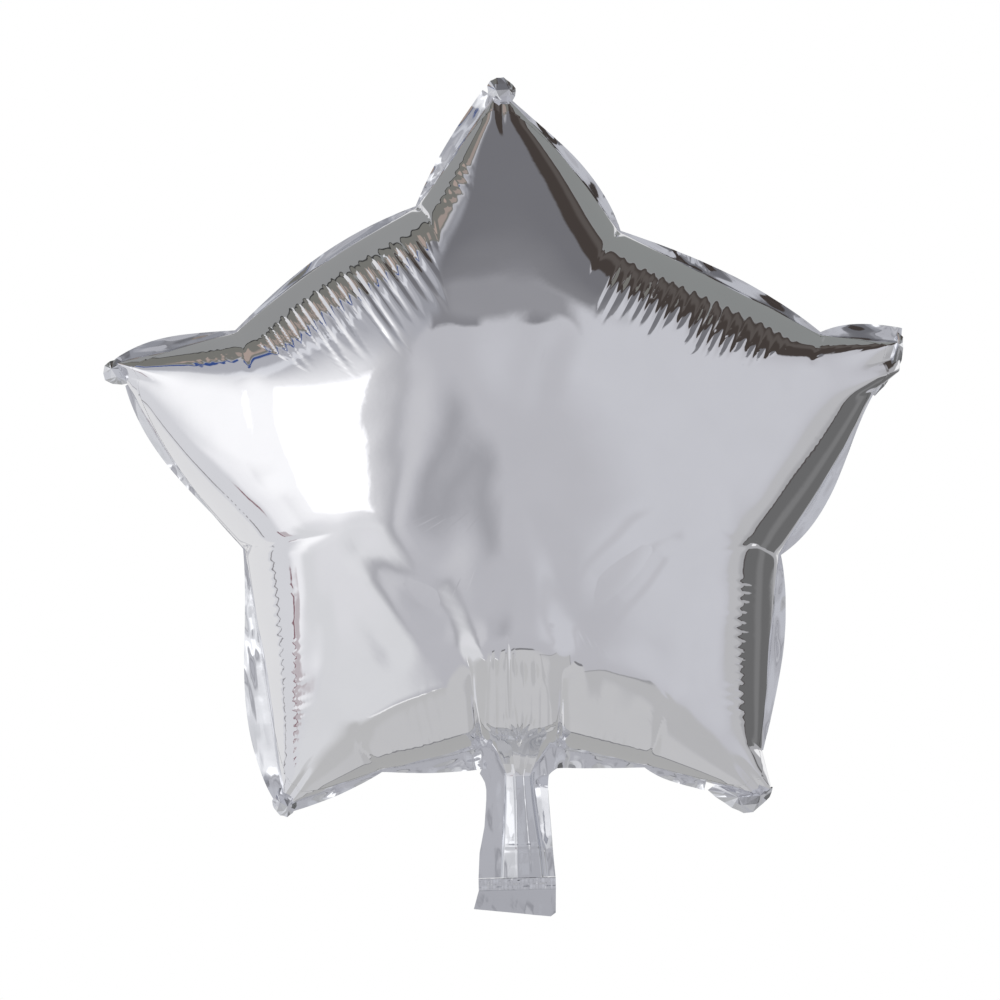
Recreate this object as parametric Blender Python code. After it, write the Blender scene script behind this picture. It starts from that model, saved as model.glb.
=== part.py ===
"""Star foil balloon, inflated, about 43 cm across and 45 cm tall with its tail.

Two star-shaped films are heat-welded to each other round their outline. Gas pushes them apart
into a pillow, so the weld line draws in and puckers, and each inner corner of the star folds
into a crease. Outside the weld a narrow margin of both films is left as a flat rim, which ends
in a blunt cap at each tip. A flat tail with a self-sealing valve leaves the bottom corner.

Units are metres. X is to the right as seen from the front, Y goes back and Z is up. The origin
is the star's centre, in the plane of the weld.
"""

import math

import bmesh
import bpy

# Inflated envelope.
HALF_DEPTH = 0.082  # from the weld plane to the crown of one film
WALL = 0.002  # wall of the solid that stands for a film
GAP = 0.0003  # left between solids that touch
HALF_GAP = GAP / 2
NOTCH_SHARE = 0.70  # radius of an inner corner as a share of a tip's radius
SECTOR = math.radians(36)  # from a tip to the next inner corner
NOTCH_ROUNDING = math.radians(9)  # how far the fold at an inner corner opens out by the crown
POINT_SPACING = 0.0175  # along the weld line

# Rings of one film, from the weld inwards: level (0 at the weld, 1 at the crown), the share of a
# crease's depth that is left there, and the share of the weld line's kinks that is smoothed out.
RINGS = (
    (0.00, 0.00, 0.00),
    (0.07, 0.55, 0.10),
    (0.18, 1.00, 0.30),
    (0.31, 0.85, 0.60),
    (0.46, 0.45, 0.85),
    (0.64, 0.15, 1.00),
    (0.81, 0.04, 1.00),
    (0.94, 0.00, 1.00),
)

# How deep the film folds in at a corner of the weld line, by the corner's kind.
FOLD_DEPTH = {"tip": 0.0, "plain": 0.0, "crease": 0.006, "tail": 0.008, "notch": 0.011}

# Corners of the weld line, clockwise from the top as seen from the front: x, z, kind, and how
# far the side that starts there bows out. A crease is a kink in a side near its tip. Each tip
# is blunt, so it has two corners.
OUTLINE = (
    (-0.0026, 0.2071, "tip", 0.0),
    (0.0059, 0.2053, "tip", 0.0032),
    (0.0634, 0.1328, "notch", 0.0012),
    (0.1697, 0.0751, "crease", 0.0),
    (0.2131, 0.0702, "tip", 0.0),
    (0.2119, 0.0541, "tip", 0.0),
    (0.1971, 0.0427, "crease", 0.0022),
    (0.1446, -0.0428, "notch", 0.0005),
    (0.1327, -0.1476, "crease", 0.0),
    (0.1373, -0.1687, "tip", 0.0),
    (0.1278, -0.1722, "tip", 0.0),
    (0.1022, -0.1640, "plain", 0.0),
    (0.0696, -0.1543, "crease", 0.0),
    (0.0231, -0.1439, "tail", 0.0),
    (-0.0177, -0.1426, "tail", 0.0008),
    (-0.0718, -0.1530, "crease", 0.0),
    (-0.1211, -0.1700, "tip", 0.0),
    (-0.1256, -0.1661, "tip", 0.0),
    (-0.1425, -0.0323, "notch", 0.0042),
    (-0.2032, 0.0576, "tip", 0.0),
    (-0.2092, 0.0695, "tip", 0.0),
    (-0.1443, 0.0844, "crease", 0.0042),
    (-0.0454, 0.1488, "notch", 0.0),
)

# Rims, the margin of both films outside the weld, clockwise: name, first and last corner in
# OUTLINE, and the width at the start, a third, two thirds and the end of the side.
RIMS = (
    ("rim_top_right", 1, 2, 0.0010, 0.0030, 0.0048, 0.0008),
    ("rim_right_upper", 2, 3, 0.0008, 0.0046, 0.0054, 0.0010),
    ("rim_right_tip", 3, 4, 0.0010, 0.0064, 0.0078, 0.0070),
    ("rim_right_lower", 6, 7, 0.0008, 0.0028, 0.0064, 0.0008),
    ("rim_low_right_side", 7, 8, 0.0010, 0.0062, 0.0050, 0.0006),
    ("rim_low_right_bottom", 11, 12, 0.0046, 0.0046, 0.0040, 0.0010),
    ("rim_tail_right", 12, 13, 0.0010, 0.0045, 0.0078, 0.0108),
    ("rim_tail_left", 14, 15, 0.0112, 0.0086, 0.0050, 0.0010),
    ("rim_low_left_bottom", 15, 16, 0.0010, 0.0036, 0.0046, 0.0040),
    ("rim_low_left_side", 17, 18, 0.0050, 0.0125, 0.0070, 0.0008),
    ("rim_left_lower", 18, 19, 0.0006, 0.0012, 0.0042, 0.0012),
    ("rim_left_tip", 20, 21, 0.0020, 0.0066, 0.0050, 0.0010),
    ("rim_left_upper", 21, 22, 0.0008, 0.0032, 0.0038, 0.0008),
    ("rim_top_left", 22, 23, 0.0006, 0.0049, 0.0068, 0.0068),
)
RIM_THICKNESS = 0.0016
RIM_END_GAP = 0.0010  # left between a rim's end and its corner, so that rims meet clear

# Caps, where the margin folds over a tip: name, first and last corner in OUTLINE, and the
# points of its outer edge, clockwise, as x and z.
CAPS = (
    ("tip_cap_top", 0, 1, (
        (-0.0084, 0.2114),
        (-0.0043, 0.2159),
        (-0.0002, 0.2180),
        (0.0046, 0.2174),
        (0.0104, 0.2119),
        (0.0088, 0.2050),
    )),
    ("tip_cap_right", 4, 6, (
        (0.2146, 0.0702),
        (0.2143, 0.0640),
        (0.2134, 0.0518),
        (0.2071, 0.0457),
        (0.2006, 0.0413),
        (0.1980, 0.0404),
    )),
    ("tip_cap_low_right", 9, 11, (
        (0.1381, -0.1702),
        (0.1330, -0.1788),
        (0.1227, -0.1820),
        (0.1182, -0.1798),
        (0.1042, -0.1705),
    )),
    ("tip_cap_low_left", 16, 17, (
        (-0.1207, -0.1713),
        (-0.1202, -0.1759),
        (-0.1240, -0.1782),
        (-0.1276, -0.1776),
        (-0.1306, -0.1747),
        (-0.1310, -0.1695),
        (-0.1294, -0.1668),
    )),
    ("tip_cap_left", 19, 20, (
        (-0.2052, 0.0558),
        (-0.2150, 0.0597),
        (-0.2167, 0.0654),
        (-0.2102, 0.0709),
    )),
)
CAP_THICKNESS = 0.0030

# Tail: stations down its length, as z, left edge, left and right side of the filling channel,
# right edge, and how far the channel's front and back film stand out from the weld plane.
TAIL_STATIONS = (
    (-0.1444, -0.0172, -0.0130, 0.0185, 0.0231, 0.0020, 0.0015),
    (-0.1500, -0.0163, -0.0095, 0.0140, 0.0208, 0.0090, 0.0060),
    (-0.1570, -0.0160, -0.0050, 0.0090, 0.0178, 0.0115, 0.0075),
    (-0.1700, -0.0161, -0.0055, 0.0105, 0.0172, 0.0105, 0.0060),
    (-0.1850, -0.0175, -0.0070, 0.0125, 0.0182, 0.0090, 0.0045),
    (-0.1990, -0.0205, -0.0085, 0.0150, 0.0190, 0.0070, 0.0035),
    (-0.2125, -0.0214, -0.0094, 0.0160, 0.0200, 0.0030, 0.0022),
)
# Folds across the channel: share of its width, and share of the station's depth.
TAIL_FRONT_FOLDS = (
    (0.00, 0.08),
    (0.08, 0.85),
    (0.30, 1.00),
    (0.52, 0.80),
    (0.80, 0.30),
    (0.90, 0.50),
    (1.00, 0.08),
)
TAIL_BACK_FOLDS = ((0.00, 0.08), (0.25, 0.80), (0.55, 1.00), (0.80, 0.70), (1.00, 0.08))
TAIL_FILM = 0.0010

# Weld across the tail, and the open lips of film below it.
TAIL_WELD_TOP = -0.2128
TAIL_WELD_BOTTOM = -0.2190
TAIL_WELD_THICKNESS = 0.0032
LIP_LOW_LEFT = (-0.0243, -0.2288)
LIP_LOW_MIDDLE = (0.0169, -0.2338)
LIP_LOW_RIGHT = (0.0196, -0.2318)
LIP_FILM = 0.0009
LIP_OUTER = 0.0016

# Valve sleeve of clear film, whose mouth lies between the lips.
VALVE_LEFT, VALVE_RIGHT = -0.0105, 0.0125
VALVE_MOUTH = -0.2288
VALVE_THICKNESS = 0.0008

# Colours of the finishes, linear, with roughness and metallic value.
FINISHES = {
    "foil": ((0.80, 0.80, 0.82, 1.0), 0.08, 1.0),
    "weld": ((0.72, 0.73, 0.76, 1.0), 0.18, 1.0),
    "valve_film": ((0.86, 0.88, 0.88, 1.0), 0.35, 0.0),
}


def clear_scene():
    """Empties the scene that Blender opens with."""
    for thing in list(bpy.data.objects):
        bpy.data.objects.remove(thing, do_unlink=True)


def finish_named(name):
    """The material of that finish, made once."""
    material = bpy.data.materials.get(name)
    if material is None:
        colour, roughness, metallic = FINISHES[name]
        material = bpy.data.materials.new(name)
        material.use_nodes = True
        shader = material.node_tree.nodes["Principled BSDF"]
        shader.inputs["Base Color"].default_value = colour
        shader.inputs["Roughness"].default_value = roughness
        shader.inputs["Metallic"].default_value = metallic
    return material


def add_piece(name, shape, finish):
    """Turns a closed bmesh into a named object with outward faces."""
    bmesh.ops.recalc_face_normals(shape, faces=shape.faces)
    mesh = bpy.data.meshes.new(name)
    shape.to_mesh(mesh)
    shape.free()
    mesh.shade_smooth()
    mesh.set_sharp_from_angle(angle=math.radians(40))
    mesh.materials.append(finish_named(finish))
    piece = bpy.data.objects.new(name, mesh)
    bpy.context.scene.collection.objects.link(piece)
    return piece


def side_points(first, last):
    """Points from one corner of the weld line to another, each side bowed out by its own bow.

    Gives (x, z, outward x, outward z, share of the way) for each, both ends included.
    """
    points = []
    for corner in range(first, last):
        x0, z0, _, bow = OUTLINE[corner % len(OUTLINE)]
        x1, z1, _, _ = OUTLINE[(corner + 1) % len(OUTLINE)]
        length = math.hypot(x1 - x0, z1 - z0)
        out_x, out_z = (z0 - z1) / length, (x1 - x0) / length
        steps = max(1, round(length / POINT_SPACING))
        for step in range(steps + (corner == last - 1)):
            share = step / steps
            out = bow * math.sin(math.pi * share)
            points.append((
                x0 + (x1 - x0) * share + out_x * out,
                z0 + (z1 - z0) * share + out_z * out,
                out_x,
                out_z,
                (corner - first + share) / (last - first),
            ))
    return points


def weld_line():
    """The whole weld line as (x, z, fold depth), where only corners fold."""
    line = []
    for corner, (_, _, kind, _) in enumerate(OUTLINE):
        for step, (x, z, *_) in enumerate(side_points(corner, corner + 1)[:-1]):
            line.append((x, z, FOLD_DEPTH[kind] if step == 0 else 0.0))
    return line


def star_points():
    """The middle of each tip, and each inner corner, clockwise as (degrees, radius, is_tip).

    The tail's two corners count as one inner corner.
    """
    found = []
    for corner, (x, z, kind, _) in enumerate(OUTLINE):
        after_x, after_z, after_kind, _ = OUTLINE[(corner + 1) % len(OUTLINE)]
        if kind in ("tip", "tail") and after_kind == kind:
            x, z = (x + after_x) / 2, (z + after_z) / 2
        elif kind != "notch":
            continue
        found.append((math.degrees(math.atan2(z, x)), math.hypot(x, z), kind == "tip"))
    found.sort(reverse=True)
    degrees, radius, is_tip = found[0]
    found.append((degrees - 360, radius, is_tip))
    return found


def place_in_arm(points, x, z):
    """The angle from the arm's tip, 0 to SECTOR, and the arm's own length in that direction."""
    degrees = math.degrees(math.atan2(z, x))
    while degrees > points[0][0]:
        degrees -= 360
    for (high, high_radius, high_is_tip), (low, low_radius, _) in zip(points, points[1:]):
        if high >= degrees >= low:
            share = (high - degrees) / (high - low)
            if not high_is_tip:
                share = 1 - share
                high_radius, low_radius = low_radius, high_radius
            return SECTOR * share, high_radius + (low_radius / NOTCH_SHARE - high_radius) * share
    raise ValueError("the star's points don't go all the way round")


def ring_radius(angle, level):
    """Radius of the ring at that level in that direction, as a share of the arm's length.

    An arm is an elliptical cone: its height is the geometric mean of the distances to its two
    sides. In the arm's own frame a ring is (1 - s cos a)^2 - (s sin a / tan t)^2 = level^2,
    with s the radius over the tip's, a the angle from the tip and t the arm's half angle. The
    fold between two arms opens out towards the crown.
    """
    left = SECTOR - angle
    rounding = NOTCH_ROUNDING * level
    angle = SECTOR - (math.hypot(left, rounding) - rounding)
    half_angle_tan = NOTCH_SHARE * math.sin(SECTOR) / (1 - NOTCH_SHARE * math.cos(SECTOR))
    along = math.cos(angle)
    spread = along**2 - (math.sin(angle) / half_angle_tan) ** 2
    return (along - math.sqrt(along**2 - (1 - level**2) * spread)) / spread


def film_ring(line, level, fold_share, smoothing, side, inset):
    """One ring of a film. side is -1 for the front film, and inset is the wall for its inside."""
    height = (HALF_DEPTH - inset) * (2 * level - level**2)
    star = star_points()
    points = []
    for x, z, fold in line:
        angle, arm_length = place_in_arm(star, x, z)
        weld_radius = math.hypot(x, z)
        plain_radius = arm_length * ring_radius(angle, 0.0)
        radius = weld_radius + (plain_radius - weld_radius) * smoothing - inset
        share = ring_radius(angle, level) / ring_radius(angle, 0.0) * radius / weld_radius
        y = side * (HALF_GAP + height - fold * fold_share)
        points.append((x * share, y, z * share))
    return points


def join_rings(shape, first, second):
    """A band of quads between two closed rings of vertices."""
    count = len(first)
    for i in range(count):
        j = (i + 1) % count
        shape.faces.new((first[i], first[j], second[j], second[i]))


def build_film(name, side):
    """A dished film with a wall: rings down its outside from the crown, and up its inside."""
    line = weld_line()
    rings = [film_ring(line, *row, side, 0.0) for row in reversed(RINGS)]
    rings += [film_ring(line, *row, side, WALL) for row in RINGS]
    shape = bmesh.new()
    loops = [[shape.verts.new(point) for point in ring] for ring in rings]
    for first, second in zip(loops, loops[1:]):
        join_rings(shape, first, second)
    shape.faces.new(loops[0])
    shape.faces.new(loops[-1])
    return add_piece(name, shape, "foil")


def thicken(shape, thickness):
    """Pushes an open sheet back along Y into a closed slab."""
    pushed = bmesh.ops.extrude_face_region(shape, geom=shape.faces[:])
    moved = [item for item in pushed["geom"] if isinstance(item, bmesh.types.BMVert)]
    bmesh.ops.translate(shape, verts=moved, vec=(0.0, thickness, 0.0))


def slab(name, rows, thickness, finish):
    """A sheet given as rows of points, made thick along Y."""
    shape = bmesh.new()
    grid = [[shape.verts.new(point) for point in row] for row in rows]
    for upper, lower in zip(grid, grid[1:]):
        for i in range(len(upper) - 1):
            shape.faces.new((upper[i], upper[i + 1], lower[i + 1], lower[i]))
    thicken(shape, thickness)
    return add_piece(name, shape, finish)


def plate(name, outline, front, thickness, finish):
    """A flat plate with that outline, as (x, z) points, and its front face at y = front."""
    shape = bmesh.new()
    shape.faces.new([shape.verts.new((x, front, z)) for x, z in outline])
    thicken(shape, thickness)
    return add_piece(name, shape, finish)


def width_at(widths, share):
    """The cubic through four widths that stand at 0, 1/3, 2/3 and 1."""
    total = 0.0
    for i, width in enumerate(widths):
        weight = 1.0
        for j in range(4):
            if j != i:
                weight *= (3 * share - j) / (i - j)
        total += weight * width
    return total


def build_rims():
    """Flat margins outside the weld, each as long as its side of the star."""
    for name, first, last, *widths in RIMS:
        inner = []
        outer = []
        points = side_points(first, last)
        for number, (x, z, out_x, out_z, share) in enumerate(points):
            back = RIM_END_GAP * ((number == 0) - (number == len(points) - 1))
            x, z = x + out_z * back, z - out_x * back
            reach = max(GAP * 2, width_at(widths, share))
            inner.append((x + out_x * GAP, -RIM_THICKNESS / 2, z + out_z * GAP))
            outer.append((x + out_x * reach, -RIM_THICKNESS / 2, z + out_z * reach))
        slab(name, (inner, outer), RIM_THICKNESS, "weld")


def build_caps():
    """Blunt ends of the margin, folded over each tip."""
    for name, first, last, outer in CAPS:
        inner = []
        for corner in range(first, last + 1):
            x, z, *_ = OUTLINE[corner]
            x_before, z_before, *_ = OUTLINE[max(first, corner - 1)]
            x_after, z_after, *_ = OUTLINE[min(last, corner + 1)]
            along_x, along_z = x_after - x_before, z_after - z_before
            length = math.hypot(along_x, along_z)
            reach = GAP * 1.5
            inner.append((x - along_z / length * reach, z + along_x / length * reach))
        plate(name, inner[::-1] + list(outer), -CAP_THICKNESS / 2, CAP_THICKNESS, "weld")


def channel_rows(folds, depth_column, side):
    """Rows of points down one film of the tail's filling channel."""
    rows = []
    for station in TAIL_STATIONS:
        z, _, left, right = station[:4]
        row = []
        for across, depth_share in folds:
            y = side * (GAP + TAIL_FILM / 2 + station[depth_column] * depth_share)
            row.append((left + GAP + (right - left - 2 * GAP) * across, y - TAIL_FILM / 2, z))
        rows.append(row)
    return rows


def build_tail():
    """The tail's channel, its side welds, the weld across it, its lips and the valve."""
    slab("tail_front", channel_rows(TAIL_FRONT_FOLDS, 5, -1), TAIL_FILM, "foil")
    slab("tail_back", channel_rows(TAIL_BACK_FOLDS, 6, 1), TAIL_FILM, "foil")

    for name, outer, inner in (("tail_side_left", 1, 2), ("tail_side_right", 4, 3)):
        rows = [
            [
                (station[outer], -RIM_THICKNESS / 2, station[0]),
                (station[inner], -RIM_THICKNESS / 2, station[0]),
            ]
            for station in TAIL_STATIONS
        ]
        slab(name, rows, RIM_THICKNESS, "weld")

    left, right = TAIL_STATIONS[-1][1], TAIL_STATIONS[-1][4]
    weld = (
        (left, TAIL_WELD_TOP),
        (right, TAIL_WELD_TOP),
        (right, TAIL_WELD_BOTTOM),
        (left, TAIL_WELD_BOTTOM),
    )
    plate("tail_weld", weld, -TAIL_WELD_THICKNESS / 2, TAIL_WELD_THICKNESS, "weld")

    top = TAIL_WELD_BOTTOM - GAP
    lip = ((left, top), (right, top), LIP_LOW_RIGHT, LIP_LOW_MIDDLE, LIP_LOW_LEFT)
    plate("tail_lip_front", lip, -LIP_OUTER, LIP_FILM, "foil")
    plate("tail_lip_back", lip, LIP_OUTER - LIP_FILM, LIP_FILM, "foil")

    sleeve = (
        (VALVE_LEFT, top),
        (VALVE_RIGHT, top),
        (VALVE_RIGHT, VALVE_MOUTH),
        (VALVE_LEFT, VALVE_MOUTH),
    )
    plate("valve_sleeve", sleeve, -VALVE_THICKNESS / 2, VALVE_THICKNESS, "valve_film")


def main():
    clear_scene()
    build_film("front_film", -1)
    build_film("back_film", 1)
    build_rims()
    build_caps()
    build_tail()


main()
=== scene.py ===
"""Looks of the star foil balloon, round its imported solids. Metres, Z up, front towards -Y."""
import math

import bpy
import numpy as np
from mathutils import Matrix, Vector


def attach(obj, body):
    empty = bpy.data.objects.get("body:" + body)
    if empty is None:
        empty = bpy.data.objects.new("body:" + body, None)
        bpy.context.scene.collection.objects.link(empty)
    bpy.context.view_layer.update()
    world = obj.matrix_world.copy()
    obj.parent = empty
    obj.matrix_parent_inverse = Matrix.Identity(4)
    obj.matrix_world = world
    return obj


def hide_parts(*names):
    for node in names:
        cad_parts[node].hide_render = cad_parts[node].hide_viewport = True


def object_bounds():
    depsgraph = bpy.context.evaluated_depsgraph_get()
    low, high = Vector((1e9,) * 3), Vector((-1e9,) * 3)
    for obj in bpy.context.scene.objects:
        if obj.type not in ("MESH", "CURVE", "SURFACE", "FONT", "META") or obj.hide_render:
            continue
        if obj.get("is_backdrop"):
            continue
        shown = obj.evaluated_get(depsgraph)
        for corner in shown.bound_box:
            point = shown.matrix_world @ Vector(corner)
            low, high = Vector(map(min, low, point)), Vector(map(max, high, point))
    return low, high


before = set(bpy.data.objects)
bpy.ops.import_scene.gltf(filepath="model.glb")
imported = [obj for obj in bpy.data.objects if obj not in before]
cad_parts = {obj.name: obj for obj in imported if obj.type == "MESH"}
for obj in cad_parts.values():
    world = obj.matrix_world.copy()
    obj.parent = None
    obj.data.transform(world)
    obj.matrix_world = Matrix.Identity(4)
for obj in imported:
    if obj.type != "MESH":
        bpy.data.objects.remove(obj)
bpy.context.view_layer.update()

# ----------------------------------------
# Front and back film. Two stars of metallised film, heat-welded round the edge. Gas pushes them
# apart, so each arm is a ridge, each inner corner of the star is a sharp crease, and the spare
# length along each side gathers into fine ripples on the shoulder inside the weld.


def in_metres(value):
    """Millimetres as metres in nested rows, where words stay as they are."""
    if isinstance(value, tuple):
        return tuple(in_metres(part) for part in value)
    return value if isinstance(value, str) else round(value / 1000, 6)


# Corners of the weld line, clockwise from the top, in millimetres: x, z, kind, and the bow of the
# side that starts there.
WELD_CORNERS = in_metres((
    (-2.6, 207.1, "tip", 0),
    (5.9, 205.3, "tip", 3.2),
    (63.4, 132.8, "notch", 1.2),
    (169.7, 75.1, "crease", 0),
    (213.1, 70.2, "tip", 0),
    (211.9, 54.1, "tip", 0),
    (197.1, 42.7, "crease", 2.2),
    (144.6, -42.8, "notch", 0.5),
    (132.7, -147.6, "crease", 0),
    (137.3, -168.7, "tip", 0),
    (127.8, -172.2, "tip", 0),
    (102.2, -164, "plain", 0),
    (69.6, -154.3, "crease", 0),
    (23.1, -143.9, "tail", 0),
    (-17.7, -142.6, "tail", 0.8),
    (-71.8, -153, "crease", 0),
    (-121.1, -170, "tip", 0),
    (-125.6, -166.1, "tip", 0),
    (-142.5, -32.3, "notch", 4.2),
    (-203.2, 57.6, "tip", 0),
    (-209.2, 69.5, "tip", 0),
    (-144.3, 84.4, "crease", 4.2),
    (-45.4, 148.8, "notch", 0),
))
FILM_DEPTH = 0.082  # weld plane to the crown
FILM_LIFT = 0.0002  # the film's edge stands this far off the weld plane
FILM_WALL = 0.0005
MOUTH_SIDES = (-0.0135, 0.019)  # the tail's channel at the weld line
MOUTH_BELOW = -0.14  # below this height the weld line between those sides is the mouth
MOUTH_FRONT, MOUTH_BACK = 0.0105, 0.007  # how far it stands open
MOUTH_LEVEL = 0.3  # at this level its bulge has died out
MOUTH_CORNER, MOUTH_DENSER = 13, 2.6  # the side of the weld line where columns lie closer
NECK_LEVEL = 0.2  # from this level down, the film at the mouth is drawn out into the neck
NECK_END, NECK_SIDES = -0.1578, (-0.006, 0.01)  # the neck's height and sides there
NECK_FRONT, NECK_BACK = 0.0078, 0.006
# Pleats across the tail's channel: share of the width, share of the depth.
FRONT_PLEATS = ((0.0, 0.04), (0.04, 0.42), (0.3, 0.8), (0.36, 1.0), (0.62, 0.84), (0.66, 0.9),
                (0.86, 0.74), (0.91, 0.22), (0.94, 0.3), (1.0, 0.05))
BACK_PLEATS = ((0.0, 0.05), (0.25, 0.8), (0.5, 1.0), (0.72, 0.6), (0.8, 0.85), (1.0, 0.05))
NOTCH_SHARE = 0.7  # an inner corner's distance from the middle against a tip's
SECTOR = math.radians(36)  # from an arm's ridge to the fold beside it
NOTCH_ROUNDING = math.radians(9)  # how open that fold is at the crown
ARM_BLUR, CROWN_BLUR = math.radians(3.5), math.radians(11)  # blur of the rings' kinks
EVENED_TIP, EVENED_SIDE = 0.16, 0.62  # levels at which kinks in the weld line have died out
FINEST_CREASE = 0.06  # a crease's bottom is rounded over this share of its half width
DIMPLES, DIMPLE_PITCH = 0.00004, 0.022  # faint unevenness of the whole film

# Ripples: side of the weld line (its first corner), share of the side where they start and end,
# tilt of their flanks in radians, and in millimetres their pitch at both ends and how far in from
# the weld they begin, peak and end, at the start and at the end of the side.
RIPPLES = (
    (21, 0.02, 0.99, 0.78, 5, 6.6, 6, 15, 46, 7, 22, 82),
    (2, 0.02, 0.98, 0.85, 6.4, 5.6, 9, 26, 56, 8, 21, 44),
    (22, 0.04, 0.5, 0.45, 5.6, 5.4, 4, 10, 22, 4, 10, 18),
    (20, 0.55, 0.98, 0.35, 3.6, 4, 6, 10, 16, 6, 11, 18),
    (3, 0.04, 0.62, 0.22, 3, 3.4, 4, 7, 13, 4, 7, 12),
    (6, 0.05, 0.95, 0.1, 3.4, 4, 9, 14, 24, 9, 14, 24),
    (7, 0.1, 0.98, 0.4, 5.2, 5, 13, 20, 30, 12, 17, 25),
    (17, 0.06, 0.98, 0.5, 4.4, 5.2, 3, 10, 26, 3, 11, 24),
    (14, 0.25, 0.97, 0.16, 5, 5.6, 3, 11, 50, 3, 11, 40),
    (12, 0.08, 0.75, 0.12, 5.6, 6, 3, 12, 44, 3, 12, 46),
    (13, 0.02, 0.98, 0.2, 5, 5.2, 4, 16, 50, 4, 16, 50),
    (13, 0.04, 0.96, 0.3, 5.4, 5.6, 36, 46, 58, 36, 46, 58),
    (18, 0.02, 0.3, 0.1, 2.8, 3.2, 10, 14, 20, 10, 14, 20),
)

# Creases, in millimetres: points along the film, depth at the start and end, and half width at
# the start and end.
CREASES = in_metres((
    (((63.4, 132.8), (55.9, 123.3), (49.8, 114.8), (45, 104)), 4, 0, 4.5, 4.5),
    (((-45.4, 148.8), (-39.8, 142.5), (-34.7, 131), (-33, 122)), 4, 0, 4.5, 4.5),
    (((-144.3, 84.4), (-140.5, 76.3), (-137, 64.9)), 3, 0.6, 4, 5),
    (((-142.5, -32.3), (-129.3, -31.6), (-112.6, -28.2), (-93.7, -24.4)), 4.5, 0.3, 5.5, 10),
    (((144.6, -42.8), (130.3, -35.7), (117.5, -31.6), (102.7, -22)), 1.5, 0.3, 5, 8),
    (((130.3, -35.7), (118.4, -38.6), (106.5, -40.4)), 0.8, 0.2, 3, 3),
    (((169.7, 75.1), (167.9, 68.7), (165, 59.7)), 2.8, 0.5, 4, 5),
    (((197.1, 42.7), (190.3, 41.3)), 1.8, 0.4, 3, 4),
    (((-71.8, -153), (-81.1, -140.4), (-84.6, -128.4)), 2.8, 0.5, 3.5, 5),
    (((69.6, -154.3), (74.8, -141.8), (77.8, -127.9), (80.9, -114)), 2.2, 0.3, 3, 5),
    (((-17.7, -142.6), (-20.9, -119.9), (-22.8, -89.7)), 5, 0.1, 6, 8),
    (((23.1, -143.9), (24.8, -121.1), (26, -95.3)), 5, 0.1, 6, 8),
    (((-19, -137), (-21.2, -118), (-22.2, -102)), 1.8, 0.5, 2.6, 2.4),
    (((23.6, -137), (25, -120), (25.8, -106)), 1.8, 0.5, 2.6, 2.4),
    (((132.7, -147.6), (124, -144)), 1.2, 0.3, 3, 4),
    (((-2.3, -86), (-2.2, -125.8)), 0.9, 0.4, 2, 1.2),
    (((-14.7, -128.7), (-7.9, -135.9), (2.3, -138.3), (14.3, -133.2),
      (21.5, -130)), 0.6, 0.6, 2, 2),
    (((2.3, -138.2), (-4.8, -123.5)), 1, 0.2, 2, 2),
    (((2.3, -138.2), (0.1, -120.4)), 1, 0.2, 1.6, 2),
    (((2.3, -138.2), (7.1, -120.6)), 1, 0.2, 1.6, 2),
    (((2.3, -138.2), (11.8, -124)), 1, 0.2, 2, 2),
))
# Soft folds of the body, in millimetres: points, depth (a ridge is negative), half width.
FRONT_FOLDS = in_metres((
    (((-26, -93), (-12, -87.3), (4.2, -86.7), (20.3, -88.2), (32, -94)), -2.6, 12),
    (((-87.4, -133.7), (-80.8, -128.5), (-61.1, -115.6), (-39.4, -107), (-22.4, -102.6)), -1.3, 9),
    (((24.5, -103), (46.9, -99.6), (68.1, -108.2), (80.8, -119.3), (87, -128.1)), -1.3, 10),
    (((36.7, 87.2), (13.7, 70.6), (-7.4, 47), (-24.3, 17.8),
      (-36, -19.5), (-34.8, -54.5), (-20.6, -87.1)), 1.1, 18),
    (((4, 60), (-27.7, 28.7), (-47.3, 2.3), (-54.8, -19), (-51.1, -40.6)), -0.8, 18),
    (((-93.7, -24.4), (-67.2, -40.2), (-43.5, -61.2), (-23.8, -87)), 1.5, 11),
    (((-102, -27), (-88, -48), (-70, -78), (-56, -101)), 0.8, 10),
    (((102.7, -22), (75.5, -34.2), (50.7, -56.7), (32.3, -80.4), (27.1, -93.7)), 1.8, 11),
    (((110, -26), (96, -52), (78, -80), (64, -101)), 0.8, 10),
    (((36.7, 87.2), (23.2, 65), (15.4, 32.9), (11.8, 0.8)), 0.7, 9),
    (((6.2, -9.8), (20.6, -34.4), (26.3, -64.1), (27.1, -93.7)), 1, 9),
    (((-22.8, -88.7), (-8.6, -63.2), (0, -41.9)), 0.6, 10),
    (((-137, 64.9), (-131.4, 31.4), (-122.8, -6.5)), 0.4, 6),
    (((-91.4, -39.5), (-104, -71.5), (-109.2, -103.6), (-115.1, -125)), 0.6, 8),
    (((165, 59.7), (144.3, 29.6), (127.5, 3.1), (117.7, -23.5)), 0.7, 10),
    (((110.1, -44.8), (101.2, -76.9), (98.8, -109), (110.4, -136.2)), 0.7, 8),
))
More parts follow.
